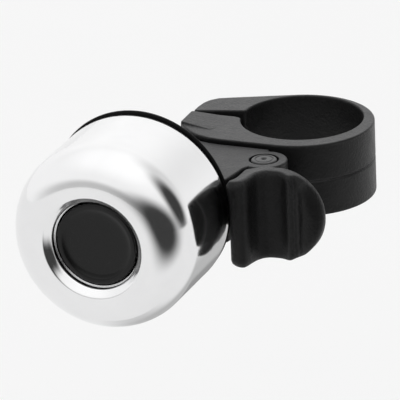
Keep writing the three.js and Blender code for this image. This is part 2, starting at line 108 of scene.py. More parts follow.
def rounded(points, radius, step, closed=True):
    """Rounds each corner in steps of that many degrees. A third number is a point's own radius."""
    out = []
    count = len(points)
    for i, p in enumerate(points):
        r = p[2] if len(p) > 2 else radius
        if not closed and i in (0, count - 1):
            out.append((p[0], p[1]))
            continue
        before, after = points[i - 1], points[(i + 1) % count]
        ux, uy = before[0] - p[0], before[1] - p[1]
        vx, vy = after[0] - p[0], after[1] - p[1]
        u_len, v_len = math.hypot(ux, uy), math.hypot(vx, vy)
        if u_len < 1e-6 or v_len < 1e-6:
            continue
        ux, uy, vx, vy = ux / u_len, uy / u_len, vx / v_len, vy / v_len
        turn = math.pi - math.acos(max(-1.0, min(1.0, ux * vx + uy * vy)))
        if r <= 0 or turn < math.radians(4):
            out.append((p[0], p[1]))
            continue
        # The arc touches each side this far from the corner, and never eats up a short side.
        reach = min(r * math.tan(turn / 2), 0.46 * min(u_len, v_len))
        fitted = reach / math.tan(turn / 2)
        mx, my = ux + vx, uy + vy
        m_len = math.hypot(mx, my)
        depth = fitted / math.cos(turn / 2)
        cx, cy = p[0] + mx / m_len * depth, p[1] + my / m_len * depth
        start = math.atan2(p[1] + uy * reach - cy, p[0] + ux * reach - cx)
        end = math.atan2(p[1] + vy * reach - cy, p[0] + vx * reach - cx)
        sweep = (end - start + math.pi) % (2 * math.pi) - math.pi
        k = max(2, int(math.ceil(abs(math.degrees(sweep)) / step)))
        angles = [start + sweep * j / k for j in range(k + 1)]
        out += [(cx + fitted * math.cos(a), cy + fitted * math.sin(a)) for a in angles]
    return out


def dense(loop, longest, closed=True):
    """Splits every side into equal pieces no longer than longest."""
    out = []
    count = len(loop)
    for i in range(count if closed else count - 1):
        (ax, ay), (bx, by) = loop[i], loop[(i + 1) % count]
        k = max(1, int(math.ceil(math.hypot(bx - ax, by - ay) / longest)))
        out += [(ax + (bx - ax) * j / k, ay + (by - ay) * j / k) for j in range(k)]
    if not closed:
        out.append(loop[-1])
    return out


def spline(points, pieces):
    """A smooth open Catmull-Rom curve through the points."""

    def between(a, b, c, d, t):
        bend = (2 * a - 5 * b + 4 * c - d) * t * t + (3 * b - a - 3 * c + d) * t**3
        return 0.5 * (2 * b + (c - a) * t + bend)

    p = [points[0]] + list(points) + [points[-1]]
    out = []
    for quad in zip(p, p[1:], p[2:], p[3:]):
        for j in range(pieces):
            out.append(tuple(between(*values, j / pieces) for values in zip(*quad)))
    return out + [points[-1]]


def arc(cx, cy, rx, ry, start, end, pieces):
    """Points on an ellipse between two angles in degrees."""
    angles = [math.radians(start + (end - start) * j / pieces) for j in range(pieces + 1)]
    return [(cx + rx * math.cos(a), cy + ry * math.sin(a)) for a in angles]


def offset(line, distance):
    """Moves an open line to the right of its own direction."""
    out = []
    for i, p in enumerate(line):
        before, after = line[max(0, i - 1)], line[min(len(line) - 1, i + 1)]
        tx, ty = after[0] - before[0], after[1] - before[1]
        length = math.hypot(tx, ty)
        out.append((p[0] + ty / length * distance, p[1] - tx / length * distance))
    return out


def hexagon(across_flats):
    r = across_flats / math.sqrt(3)
    angles = [math.radians(30 + 60 * k) for k in range(6)]
    return [(r * math.cos(a), r * math.sin(a)) for a in angles]


def mitres(loop):
    """Outward mitre vector at each point of a counter-clockwise loop."""
    out = []
    for i, p in enumerate(loop):
        a, b = loop[i - 1], loop[(i + 1) % len(loop)]
        n1 = (p[1] - a[1], a[0] - p[0])
        n2 = (b[1] - p[1], p[0] - b[0])
        l1, l2 = math.hypot(*n1) or 1.0, math.hypot(*n2) or 1.0
        n1, n2 = (n1[0] / l1, n1[1] / l1), (n2[0] / l2, n2[1] / l2)
        q = max(0.35, 1 + n1[0] * n2[0] + n1[1] * n2[1])
        out.append(((n1[0] + n2[0]) / q, (n1[1] + n2[1]) / q))
    return out


# ------------------------------------------------------------ solids


def tidy(mesh, gap=None, fix_normals=False):
    """Welds points closer than gap (metres) and turns the faces outwards."""
    bm = bmesh.new()
    bm.from_mesh(mesh)
    if gap:
        bmesh.ops.remove_doubles(bm, verts=bm.verts, dist=gap)
    if fix_normals:
        bmesh.ops.recalc_face_normals(bm, faces=bm.faces)
    bm.to_mesh(mesh)
    bm.free()


def new_object(verts, faces, gap=1e-7):
    """An object from points in millimetres. It gets its name in part()."""
    mesh = bpy.data.meshes.new("piece")
    mesh.from_pydata([(x * MM, y * MM, z * MM) for x, y, z in verts], [], faces)
    ob = bpy.data.objects.new("piece", mesh)
    SCENE.collection.objects.link(ob)
    tidy(mesh, gap, fix_normals=True)
    return ob


def combine(ob, tool, operation):
    """Applies a boolean of ob with tool and removes tool."""
    modifier = ob.modifiers.new("boolean", "BOOLEAN")
    modifier.operation = operation
    modifier.solver = "EXACT"
    modifier.object = tool
    graph = bpy.context.evaluated_depsgraph_get()
    graph.update()
    result = bpy.data.meshes.new_from_object(ob.evaluated_get(graph))
    ob.modifiers.clear()
    used = (ob.data, tool.data)
    ob.data = result
    bpy.data.objects.remove(tool)
    for mesh in used:
        bpy.data.meshes.remove(mesh)


def cut(ob, *tools):
    for tool in tools:
        combine(ob, tool, "DIFFERENCE")


def join(ob, *tools):
    for tool in tools:
        combine(ob, tool, "UNION")


def skin(rows):
    """Quads between neighbouring rows of point numbers, each row a closed ring."""
    faces = []
    for a, b in zip(rows, rows[1:]):
        for i in range(len(a)):
            j = (i + 1) % len(a)
            faces.append((a[i], a[j], b[j], b[i]))
    return faces


def capped_rings(verts, size):
    """A solid from points laid in rings of that size, with a flat face at each end."""
    rows = [range(i, i + size) for i in range(0, len(verts), size)]
    return new_object(verts, skin(rows) + [tuple(reversed(rows[0])), tuple(rows[-1])])


def prism(loop, bottom, top, fillet=0, steps=0, place=along_z(), groove=None):
    """A solid on a plan loop, its end edges filleted in that many steps.

    groove is (height, depth, half width, share(x, y)): a groove round the side, as deep at
    each point as its share says.
    """
    if sum(a[0] * b[1] - b[0] * a[1] for a, b in zip(loop, loop[1:] + loop[:1])) <= 0:
        loop = loop[::-1]

    def edge(end, inward, shares):
        angles = [math.pi / 2 * share for share in shares]
        return [
            (end + inward * fillet * (1 - math.cos(a)), fillet * (1 - math.sin(a)), 0)
            for a in angles
        ]

    # Levels: (height, inset, share of the groove's depth).
    if fillet:
        levels = edge(bottom, 1, [k / steps for k in range(steps + 1)])
        end_levels = edge(top, -1, [1 - k / steps for k in range(steps + 1)])
    else:
        levels = [(bottom, 0, 0)]
        end_levels = [(top, 0, 0)]
    depths = [0] * len(loop)
    if groove:
        middle, depth, half, share = groove
        for side, amount in ((-1.6, 0), (-1, 0.25), (0, 1), (1, 0.25), (1.6, 0)):
            levels.append((middle + half * side, 0, amount))
        depths = [depth * share(x, y) for x, y in loop]
    verts = []
    for z, inset, amount in levels + end_levels:
        for (x, y), (mx, my), depth in zip(loop, mitres(loop), depths):
            d = inset + amount * depth
            verts.append(place(x - mx * d, y - my * d, z))
    return capped_rings(verts, len(loop))


def box(x0, x1, y0, y1, z0, z1):
    return prism([(x0, y0), (x1, y0), (x1, y1), (x0, y1)], z0, z1)


def lathe(profile, segments, place, closed=True):
    """Revolves a profile of (radius, height); closed joins its last point to its first."""
    turns = [2 * math.pi * k / segments for k in range(segments)]
    verts, faces, rows = [], [], []
    for r, height in profile:
        if r < 1e-6:
            rows.append([len(verts)])
            verts.append(place(0, 0, height))
        else:
            rows.append(list(range(len(verts), len(verts) + segments)))
            verts += [place(r * math.cos(a), r * math.sin(a), height) for a in turns]
    pairs = list(zip(rows, rows[1:])) + ([(rows[-1], rows[0])] if closed else [])
    for a, b in pairs:
        if len(a) > 1 and len(b) > 1:
            faces += skin([a, b])
            continue
        if len(a) == 1 and len(b) == 1:
            continue
        for k in range(segments):
            j = (k + 1) % segments
            faces.append((a[0], b[j], b[k]) if len(a) == 1 else (a[k], a[j], b[0]))
    return new_object(verts, faces)


def rod(r, low, high, place, segments=64, edge=0, edge_steps=3):
    profile = [(0, low), (r, low), (r, high), (0, high)]
    if edge:
        profile = [(0, low), (r - edge, low)]
        profile += arc(r - edge, low + edge, edge, edge, -90, 0, edge_steps)[1:]
        profile += arc(r - edge, high - edge, edge, edge, 0, 90, edge_steps)
        profile.append((0, high))
    return lathe(profile, segments, place, closed=False)


def ring(profile, edge, place):
    """A turned ring with that edge radius wherever the profile gives none."""
    return lathe(rounded(profile, edge, step=30), 96, place)


def washer(hole_r, r, low, high, edge, place):
    return ring([(hole_r, low), (r, low), (r, high), (hole_r, high)], edge, place)


def wire(path, r, segments):
    """A round wire along a 3-D path, narrowed at both ends."""
    path = [Vector(p) for p in path]
    verts = []
    side = Vector((0.3, 0.2, 1)).normalized()
    last = len(path) - 1
    for i, p in enumerate(path):
        tangent = (path[min(i + 1, last)] - path[max(i - 1, 0)]).normalized()
        side = (side - tangent * side.dot(tangent)).normalized()
        other = tangent.cross(side)
        k = 0.55 if i in (0, last) else 1.0
        for j in range(segments):
            a = 2 * math.pi * j / segments
            verts.append(tuple(p + side * (r * k * math.cos(a)) + other * (r * k * math.sin(a))))
    return capped_rings(verts, segments)


# ------------------------------------------------------------ distance fields


def outline_distance(px, py, outline):
    """Signed distance from points to a closed outline, negative inside."""
    px, py = np.broadcast_arrays(px, py)
    best = np.full(px.shape, 1e9)
    inside = np.zeros(px.shape, bool)
    for (ax, ay), (bx, by) in zip(outline, outline[1:] + outline[:1]):
        dx, dy = bx - ax, by - ay
        q = dx * dx + dy * dy
        if q < 1e-12:
            continue
        t = np.clip(((px - ax) * dx + (py - ay) * dy) / q, 0, 1)
        best = np.minimum(best, (px - ax - t * dx) ** 2 + (py - ay - t * dy) ** 2)
        if abs(dy) > 1e-12:
            inside ^= ((ay > py) != (by > py)) & (px < dx * (py - ay) / dy + ax)
    best = np.sqrt(best)
    return np.where(inside, -best, best)


def round_max(a, b, r):
    """The overlap of two fields, its edge rounded by r."""
    return np.minimum(np.maximum(a, b), -r) + np.hypot(np.maximum(a + r, 0), np.maximum(b + r, 0))


def round_min(a, b, r):
    """The union of two fields, its corner filled by r."""
    return -round_max(-a, -b, r)


def surface(field, low, high, pitch):
    """The closed surface where field(x, y, z) is zero: one point in each crossed grid cell."""
    gx, gy, gz = (np.arange(a, b + pitch, pitch) for a, b in zip(low, high))
    values = field(gx[:, None, None], gy[None, :, None], gz[None, None, :])
    values = np.broadcast_to(values, (len(gx), len(gy), len(gz)))
    negative = values < 0
    nx, ny, nz = (s - 1 for s in values.shape)
    corners = [(i, j, k) for i in (0, 1) for j in (0, 1) for k in (0, 1)]
    total = np.zeros((nx, ny, nz), np.int8)
    for i, j, k in corners:
        total += negative[i : nx + i, j : ny + j, k : nz + k]
    active = (total > 0) & (total < 8)
    cells = np.nonzero(active)
    index = np.full(active.shape, -1, np.int64)
    index[cells] = np.arange(len(cells[0]))

    # Each point is the mean of the crossings on its cell's edges.
    crossings = np.zeros((len(cells[0]), 3))
    count = np.zeros(len(cells[0]))
    for a in corners:
        for b in corners:
            if sum(b) - sum(a) != 1 or any(q < p for p, q in zip(a, b)):
                continue
            fa = values[tuple(c + o for c, o in zip(cells, a))]
            fb = values[tuple(c + o for c, o in zip(cells, b))]
            crossed = (fa < 0) != (fb < 0)
            t = np.where(crossed, fa / np.where(crossed, fa - fb, 1), 0)
            for d in range(3):
                crossings[:, d] += np.where(crossed, a[d] + t * (b[d] - a[d]), 0)
            count += crossed
    verts = crossings / count[:, None] + np.stack(cells, 1)
    verts = np.array(low) + verts * pitch

    # One quad round each grid edge whose ends lie on different sides.
    quads = []
    for d in range(3):
        e1, e2 = (d + 1) % 3, (d + 2) % 3
        start = [slice(1, -1)] * 3
        end = [slice(1, -1)] * 3
        start[d] = slice(0, -1)
        end[d] = slice(1, None)
        a, b = negative[tuple(start)], negative[tuple(end)]
        for flip, mask in ((False, a & ~b), (True, ~a & b)):
            cell = np.stack(np.nonzero(mask), 1)
            cell[:, [e1, e2]] += 1
            o1, o2 = np.zeros(3, int), np.zeros(3, int)
            o1[e1] = 1
            o2[e2] = 1
            around = [cell - o1 - o2, cell - o2, cell, cell - o1]
            ids = np.stack([index[tuple(c.T)] for c in around], 1)
            quads.append(ids[:, ::-1] if flip else ids)

    # Settle the points onto the surface along the field's gradient.
    nudge = 0.01
    for _ in range(3):
        here = field(*verts.T)
        slopes = [field(*(verts + nudge * axis).T) - here for axis in np.eye(3)]
        gradient = np.stack(slopes, 1) / nudge
        step = here / np.maximum((gradient * gradient).sum(1), 0.05)
        verts = verts - gradient * np.clip(step, -0.5 * pitch, 0.5 * pitch)[:, None]
    ob = new_object(verts.tolist(), np.concatenate(quads).tolist(), gap=None)
    ob.data.shade_smooth()
    return ob


# ------------------------------------------------------------ shader helpers


class Nodes:
    """A short way to write a node tree."""

    def __init__(self, tree):
        self.tree = tree
        tree.nodes.clear()

    def add(self, kind, values=None, **props):
        node = self.tree.nodes.new(kind)
        for key, value in props.items():
            setattr(node, key, value)
        for key, value in (values or {}).items():
            if isinstance(value, bpy.types.NodeSocket):
                self.tree.links.new(value, node.inputs[key])
            else:
                node.inputs[key].default_value = value
        return node

    def math(self, operation, *values):
        return self.add("ShaderNodeMath", dict(enumerate(values)), operation=operation).outputs[0]

    def vector(self, operation, *values):
        node = self.add("ShaderNodeVectorMath", dict(enumerate(values)), operation=operation)
        return node.outputs["Value" if operation == "DOT_PRODUCT" else "Vector"]

    def xyz(self, vector):
        return self.add("ShaderNodeSeparateXYZ", {"Vector": vector}).outputs

    def hypot(self, a, b):
        squares = self.math("MULTIPLY", a, a), self.math("MULTIPLY", b, b)
        return self.math("SQRT", self.math("ADD", *squares))

    def ramp(self, value, start, end, low=0.0, high=1.0):
        """A smooth step from low to high as value goes from start to end."""
        values = dict(enumerate((value, start, end, low, high)))
        node = self.add("ShaderNodeMapRange", values, interpolation_type="SMOOTHSTEP", clamp=True)
        return node.outputs[0]

    def mix(self, factor, a, b):
        return self.add("ShaderNodeMix", {0: factor, 6: a, 7: b}, data_type="RGBA").outputs[2]

    def noise(self, vector, scale, detail, rough=0.5, distortion=0.0):
        values = {"Vector": vector, "Scale": scale, "Detail": detail}
        values.update({"Roughness": rough, "Distortion": distortion})
        return self.add("ShaderNodeTexNoise", values).outputs["Fac"]

    def vary(self, base, noise, amount):
        """base, moved up and down by noise about its middle."""
        return self.math(
            "ADD", base, self.math("MULTIPLY", self.math("SUBTRACT", noise, 0.5), amount)
        )

    def bump(self, height, distance, normal=None):
        values = {"Strength": 1.0, "Distance": distance, "Height": height}
        if normal:
            values["Normal"] = normal
        return self.add("ShaderNodeBump", values).outputs[0]

    def bevel(self, radius):
        """The normal softened round edges."""
        return self.add("ShaderNodeBevel", {"Radius": radius}, samples=4).outputs[0]

    def edges(self, soft, start=0.98, end=0.75):
        """1 near edges, 0 elsewhere: how far the softened normal leans from the true one."""
        normal = self.add("ShaderNodeNewGeometry").outputs["Normal"]
        return self.ramp(self.vector("DOT_PRODUCT", soft, normal), start=start, end=end)


def grey(value, tint=(1, 1, 1)):
    return (value * tint[0], value * tint[1], value * tint[2], 1)


def material(name, build):
    """build(t, where) gives the values of the Principled shader's inputs."""
    m = bpy.data.materials.new(name)
    m.use_nodes = True
    t = Nodes(m.node_tree)
    where = t.add("ShaderNodeTexCoord").outputs["Object"]
    shader = t.add("ShaderNodeBsdfPrincipled", build(t, where))
    t.add("ShaderNodeOutputMaterial", {"Surface": shader.outputs[0]})
    return m


# ------------------------------------------------------------ materials


def plastic(base, worn_and_highlight_base, rough, specular, grain, reach=0.0011):
    """Moulded plastic: fine grain, uneven gloss, flow marks, narrow worn edges, a paler painted
    edge highlight and a painted top sheen flecked with dust.

    grain is the bump's depth and reach the width of the painted edge highlight, in metres.
    """
    tint = (1, 1, 1.02)

    def build(t, where):
        soft = t.bevel(radius=0.00022)
        edge = t.edges(soft)
        fine = t.noise(where, scale=2600.0, detail=3.0, rough=0.6)
        mid = t.noise(where, scale=420.0, detail=3.0, rough=0.55)
        wide = t.noise(where, scale=90.0, detail=2.0)
        flow = t.noise(t.vector("MULTIPLY", where, (60, 60, 700)), scale=1.0, detail=2.0)
        worn = t.math("MULTIPLY", edge, t.ramp(mid, start=0.35, end=0.7))
        # broad and painted_edge_highlight: a painted edge highlight, paler colour up to reach from
        # each edge, broken into patches like wear.
        broad = t.edges(t.bevel(radius=reach), start=0.99, end=0.84)
        patchy = t.ramp(fine, start=0.3, end=0.7, low=0.25, high=0.8)
        painted_edge_highlight = t.math("MULTIPLY", broad, patchy)
        # upward and dust: faces that point up are painted paler, a painted top sheen flecked with
        # dust specks.
        upward = t.xyz(t.add("ShaderNodeNewGeometry").outputs["Normal"])[2]
        specks = t.ramp(fine, start=0.3, end=0.75, low=0.6, high=1.0)
        dust = t.math("MULTIPLY", t.ramp(upward, start=0.75, end=0.98), specks)

        cloudy = t.ramp(wide, start=0.3, end=0.7)
        colour = t.mix(cloudy, grey(base * 0.85, tint), grey(base * 1.2, tint))
        # Paler edges: the painted edge highlight, then narrow worn edges, both in the worn and
        # highlight colour.
        colour = t.mix(painted_edge_highlight, colour, grey(worn_and_highlight_base, tint))
        colour = t.mix(worn, colour, grey(worn_and_highlight_base, tint))
        # Painted top sheen with dust specks on the upward faces.
        colour = t.mix(dust, colour, grey(base * 0.85 + 0.056, tint))
        roughness = t.vary(rough, mid, amount=0.16)
        roughness = t.vary(roughness, flow, amount=0.06)
        roughness = t.math("SUBTRACT", roughness, t.math("MULTIPLY", edge, 0.05))
        normal = t.bump(fine, distance=grain, normal=soft)
        return {
            "Base Color": colour,
            "Roughness": roughness,
            "Specular IOR Level": specular,
            "Normal": t.bump(mid, distance=grain * 0.9, normal=normal),
        }

    return build


def spun_aluminium(t, where):
    """Metal turned about the gong's axis: fine rings, a little uneven polish, faint smears."""
    base, tint = 0.85, (1.0, 1.0, 1.005)
    x, y, z = t.xyz(where)
    x = t.math("SUBTRACT", x, GONG_X * MM)
    z = t.math("SUBTRACT", z, -ORIGIN.z * MM)
    radial = t.add("ShaderNodeCombineXYZ", {"X": t.hypot(x, z), "Y": y, "Z": 0.0}).outputs[0]
    fine = t.noise(radial, scale=9000.0, detail=2.0, rough=0.6)
    broad = t.noise(radial, scale=1400.0, detail=2.0)
    smear = t.noise(where, scale=130.0, detail=4.0, rough=0.6, distortion=0.6)
    speck = t.noise(where, scale=2200.0, detail=2.0)
    smeared = t.ramp(smear, start=0.3, end=0.75)
    roughness = t.vary(0.11, smear, amount=0.06)
    normal = t.bump(fine, distance=0.0000016, normal=t.bevel(radius=0.00012))
    normal = t.bump(broad, distance=0.0000025, normal=normal)
    return {
        "Metallic": 1.0,
        "Base Color": t.mix(smeared, grey(base * 0.97, tint), grey(base, tint)),
        "Roughness": t.vary(roughness, fine, amount=0.03),
        "Normal": t.bump(speck, distance=0.0000008, normal=normal),
    }


def metal(base, tint, rough):
    """Plated or turned metal with small pits and uneven shine."""

    def build(t, where):
        soft = t.bevel(radius=0.00015)
        fine = t.noise(where, scale=2400.0, detail=3.0, rough=0.6)
        mid = t.noise(where, scale=380.0, detail=3.0, rough=0.6, distortion=0.4)
        cloudy = t.ramp(mid, start=0.3, end=0.7)
        colour = t.mix(cloudy, grey(base * 0.86, tint), grey(base, tint))
        bright = t.math("MULTIPLY", t.edges(soft), 0.6)
        return {
            "Metallic": 1.0,
            "Base Color": t.mix(bright, colour, grey(min(1.0, base * 1.25), tint)),
            "Roughness": t.vary(rough, mid, amount=0.16),
            "Normal": t.bump(fine, distance=0.000006, normal=soft),
        }

    return build


def gloss_black(t, where):
    """Polished black: nearly smooth, with a few hairline wipes and a breath of dust."""
    stretched = t.vector("MULTIPLY", where, (500, 500, 4200))
    wipe = t.noise(stretched, scale=1.0, detail=3.0, rough=0.6, distortion=0.3)
    wide = t.noise(where, scale=110.0, detail=3.0)
    dust = t.noise(where, scale=5200.0, detail=1.0)
    dusty = t.ramp(dust, start=0.66, end=0.78, low=0, high=0.25)
    uneven = t.math("MULTIPLY", t.math("ADD", wipe, wide), 0.04)
    return {
        "Base Color": t.mix(dusty, grey(0.006), grey(0.05)),
        "Roughness": t.math("ADD", 0.085, uneven),
        "Specular IOR Level": 0.24,
        "Normal": t.bump(wipe, distance=0.0000012, normal=t.bevel(radius=0.00012)),
    }


def nylon(t, where):
    mid = t.noise(where, scale=500.0, detail=3.0)
    fine = t.noise(where, scale=2600.0, detail=2.0)
    return {
        "Base Color": t.mix(mid, (0.72, 0.71, 0.66, 1), (0.82, 0.81, 0.77, 1)),
        "Roughness": t.ramp(mid, start=0.2, end=0.8, low=0.4, high=0.55),
        "Subsurface Weight": 0.15,
        "Subsurface Scale": 0.001,
        "Normal": t.bump(fine, distance=0.00001),
    }


# Look: (material name, builder).
LOOKS = {
    "black_plastic": (
        "moulded_black",
        plastic(base=0.0058, worn_and_highlight_base=0.036, rough=0.38, specular=0.25, grain=0.0001),
    ),
    "lever_plastic": (
        # The lever's wide pale rims are a painted rim highlight over narrow worn edges.
        "thumb_black_worn_and_rim_highlight",
        plastic(
            base=0.0042, worn_and_highlight_base=0.07, rough=0.38, specular=0.2, grain=0.00012, reach=0.0019
        ),
    ),
    "plate_plastic": (
        "plate_black",
        plastic(
            base=0.004, worn_and_highlight_base=0.008, rough=0.45, specular=0.12, grain=0.00006, reach=0.0003
        ),
    ),
    "gong_aluminium": ("spun_aluminium", spun_aluminium),
    "gloss_black": ("gloss_black", gloss_black),
    "pin_black": (
        "dark_pin",
        plastic(base=0.012, worn_and_highlight_base=0.06, rough=0.33, specular=0.4, grain=0.00001),
    ),
    "steel": ("zinc_steel", metal(base=0.56, tint=(1.0, 0.99, 0.96), rough=0.27)),
    "hammer_brass": ("turned_brass", metal(base=0.72, tint=(1.0, 0.8, 0.46), rough=0.25)),
    "nylon": ("nylon", nylon),
}
MATERIALS = {look: material(*recipe) for look, recipe in LOOKS.items()}


def part(ob, name, slot, replaced, body="bell_body", look=None, sharp=30, weighted=True):
    """Names, shades and paints a finished piece, moves it to the part's origin, hangs it on body.

    Edges over sharp degrees stay sharp; None leaves the shading as it is.
    """
    ob.name = name
    mesh = ob.data
    mesh.name = name
    if sharp:
        mesh.shade_smooth()
        mesh.set_sharp_from_angle(angle=math.radians(sharp))
        if weighted:
            modifier = ob.modifiers.new("normals", "WEIGHTED_NORMAL")
            modifier.keep_sharp = True
            modifier.weight = 60
    tidy(mesh, gap=3e-7)
    mesh.transform(Matrix.Translation(ORIGIN * -MM))
    mesh.update()
    mesh.materials.clear()
    mesh.materials.append(MATERIALS[look or slot])
    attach(ob, body)
    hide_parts(replaced)


# ------------------------------------------------------------ clamp band

BAND = (0.2, -1.28, 13.4, 13.15)  # outside ellipse: centre x, y and half widths
# Corners: (x, y, radius). The ear ends at the split; the split runs to the bore and back.
EAR = [
    (-11.3, 8.2, 6.0), (-16.6, 5.95, 3.0), (-18.3, 5.15, 2.0), (-19.5, 3.75, 2.0),
    (-20.05, 2.3, 2.0), (-20.3, 0.2, 1.0), (-20.3, -2.08, 0.48),
]
SPLIT_IN = [(-12.0, 0.1, 0.8), (-11.09, 0.35, 0.6)]
SPLIT_OUT = [(-10.66, -3.11, 0.6), (-12.0, -2.8, 0.5), (-20.3, -2.95, 0.48)]
EAR_PAD = [
    (-20.1, -3.35, 0.5), (-20.0, -8.95, 0.35), (-13.5, -10.5, 0.8),
    (-11.9, -6.4, 2.2), (-12.3, -3.2, 0.6),
]


def groove_share(x, y):
    """The groove runs only round the outside of the band, clear of the ear and the jaw."""
    cx, cy, rx, ry = BAND
    on_band = math.hypot((x - cx) / rx, (y - cy) / ry) > 0.97
    return 1.0 if on_band and x > -7.5 and y > -13.9 else 0.0


def make_ear_pad():
    """A low pad on top of the clamp whose top slopes up towards -X."""
    pad = prism(dense(rounded(EAR_PAD, 0.6, step=15), 0.6), 6.0, 7.07, fillet=0.22, steps=3)
    for v in pad.data.vertices:
        if v.co.z > 6.6 * MM:
            rise = (-11.8 * MM - v.co.x) / (8.4 * MM)
            v.co.z = 6.71 * MM + (v.co.z - 6.6 * MM) / 0.47 * 0.52 * rise
    return pad


def make_clamp():
    start = math.degrees(math.atan2(SPLIT_IN[-1][1], SPLIT_IN[-1][0]))
    end = math.degrees(math.atan2(SPLIT_OUT[0][1], SPLIT_OUT[0][0]))
    chain = with_radius(arc(*BAND, -90, 112, 150), 0) + EAR + SPLIT_IN
    chain += with_radius(arc(0, 0, BORE_R, BORE_R, start, end, 150)[3:-3], 0) + SPLIT_OUT
    chain += [(-20.3, -8.35, 1.2)] + with_radius(JAW[1:-1], 1.5) + [(-10.0, -14.43, 1.0)]
    loop = dense(rounded(chain, 0, step=10), 0.6)
    groove = (-0.15, 0.26, 0.24, groove_share)
    ob = prism(loop, -CLAMP_TOP, CLAMP_TOP, fillet=0.33, steps=5, groove=groove)
    join(ob, make_ear_pad())
    cut(
        ob,
        rod(SCREW_HOLE_R, -20, 9, clamp_at),
        rod(3.4, 3.6, 9, clamp_at),  # seat of the washer
        box(-8.3, -2.7, -16, -12.6, -2.3, 2.3),  # notch for the bracket's tongue
    )
    part(ob, "clamp_band_shell", "black_plastic", "clamp_band")


# ------------------------------------------------------------ bracket

BRACKET_HALF = 6  # half height along Z
CAVITY_HALF = 3.6
# Plan of the hollow: (x, y).
CAVITY = [
    (9, -16.9), (-10.4, -16.9), (-12.2, -15.9), (-20.9, -15.9), (-27.2, -27.3), (9, -27.3),
]
# Bracket side away from the jaw: (x, y, radius).
BRACKET_BACK = [
    (-1.9, -24.8, 0.8), (-2.8, -30.75, 0.5), (-31.2, -30.75, 0.6),
    (-30.4, -27, 1.5), (-21.9, -11.4, 0.8),
]
# Stepped pin hole: (radius, z).
PIN_HOLE = [(0, -8), (1.62, -8), (1.62, 5.1), (2.7, 5.1), (2.7, 8), (0, 8)]


def make_bracket():
    near = offset(JAW, 0.3)  # a small gap from the clamp
    chain = with_radius(near[:1], 0.6) + with_radius(near[1:], 1.5)
    chain += [(-0.5, -14.73, 0.4), (-0.5, -15.6, 0.2)]
    chain += with_radius(arc(*PIVOT, 4.2, 4.2, 88, -110, 60), 0) + BRACKET_BACK
    loop = dense(rounded(chain, 0.4, step=10), 0.7)
    ob = prism(loop, -BRACKET_HALF, BRACKET_HALF, fillet=0.35, steps=5)
    join(ob, box(-8, -3, -16, -12.9, -2, 2))  # tongue into the clamp
    cut(
        ob,
        prism(rounded(CAVITY, 0.6, step=20), -CAVITY_HALF, CAVITY_HALF),
        rod(4.2, -CAVITY_HALF, CAVITY_HALF, pin_at, 96),
        lathe(PIN_HOLE, 96, pin_at, closed=False),
        rod(SCREW_HOLE_R, -20, -9, clamp_at),
        prism(hexagon(5.85), -18, -14.6, place=clamp_at),  # pocket of the clamp nut
        box(-11.4, 3, -32, -26, -2.8, 2.8),  # window for the hammer arm
        rod(2.15, -32, -24, along_y(GONG_X)),
        *[rod(1.45, -32, -26, along_y(x)) for x in PEG_X],
    )
    part(ob, "bracket_shell", "black_plastic", "bracket")


# ------------------------------------------------------------ base plate

# Section of the disc: (radius, height from the rim, corner radius).
PLATE = [
    (2.2, -1.65, 0.1), (15.7, -1.65, 0.1), (15.7, -1.22, 0.1), (15.1, -1.22, 0.1),
    (15.1, 0.9, 0.15), (13.7, 0.9, 0.15), (13.7, -0.3, 0.1), (2.2, -0.3, 0.1),
]
FLANGE = [(14.5, -1.63, 0.1), (16.95, -1.63, 0.14), (16.95, -1.2, 0.18), (14.5, -1.2, 0.1)]
FLANGE_SHIFT = (0.18, 0.46)  # the flange sits a little off the gong's axis, in x and z


def flange_at(u, v, height):
    return gong_at(u + FLANGE_SHIFT[0], v + FLANGE_SHIFT[1], height)


def make_base_plate():
    ob = lathe(rounded(PLATE, 0.1, step=18), 200, gong_at)
    join(ob, lathe(rounded(FLANGE, 0.1, step=18), 200, flange_at))
    for x in PEG_X:
        join(ob, rod(1.3, -4.2, -0.9, from_rim(x), 48, edge=0.2))
    cut(ob, box(-11.4, -3.6, -36, -30, -2.8, 2.8))  # window for the hammer arm
    part(ob, "base_plate_disc", "black_plastic", "base_plate", look="plate_plastic")


# ------------------------------------------------------------ gong

# Profiles: (radius, height from the rim).
RIM_END = -0.7  # where the straight wall starts, above the rounded rim
SHOULDER = (9.9, 13.7)  # centre of the dome's quarter ellipse
SHOULDER_HALF = (7.02, 7.05)
ROLL = [
    (9.9, 20.75), (9.6, 20.75), (9.3, 20.68), (9.05, 20.48), (8.7, 20.15),
    (8.35, 19.82), (8.12, 19.55), (8.04, 19.3), (8.02, 18.9), (8.02, 18.4),
]
# The cup in the dome's middle: down its wall, across its floor and back up underneath.
CUP = [
    (7.78, 18.1), (7.78, 15.9), (7.68, 15.55), (7.4, 15.4), (3, 15.4), (3, 14.2), (7.4, 14.2),
    (8.05, 14.4), (8.5, 14.85), (8.65, 15.4), (8.65, 17.6), (8.85, 18.2), (9.3, 18.9),
    (9.65, 19.4),
]


def make_gong():
    inner_r = GONG_R - GONG_WALL
    inner_half = [half - GONG_WALL for half in SHOULDER_HALF]
    profile = arc(GONG_R - 0.3, RIM_END, 0.3, 0.3, -60, 0, 4)[:-1]
    profile += dense([(GONG_R, RIM_END), (GONG_R, SHOULDER[1])], 1.2, closed=False)[:-1]
    profile += arc(*SHOULDER, *SHOULDER_HALF, 0, 90, 40)[:-1] + spline(ROLL, 5)
    profile += arc(7.9, 18.35, 0.12, 0.15, 10, 180, 14) + CUP
    profile += arc(*SHOULDER, *inner_half, 90, 0, 40)[1:]
    profile += [(inner_r, 7), (inner_r, -0.8), (15.92, -0.95)]
    ob = lathe(profile, 256, gong_at)
    part(ob, "gong_dome", "gong_aluminium", "gong", sharp=40, weighted=False)


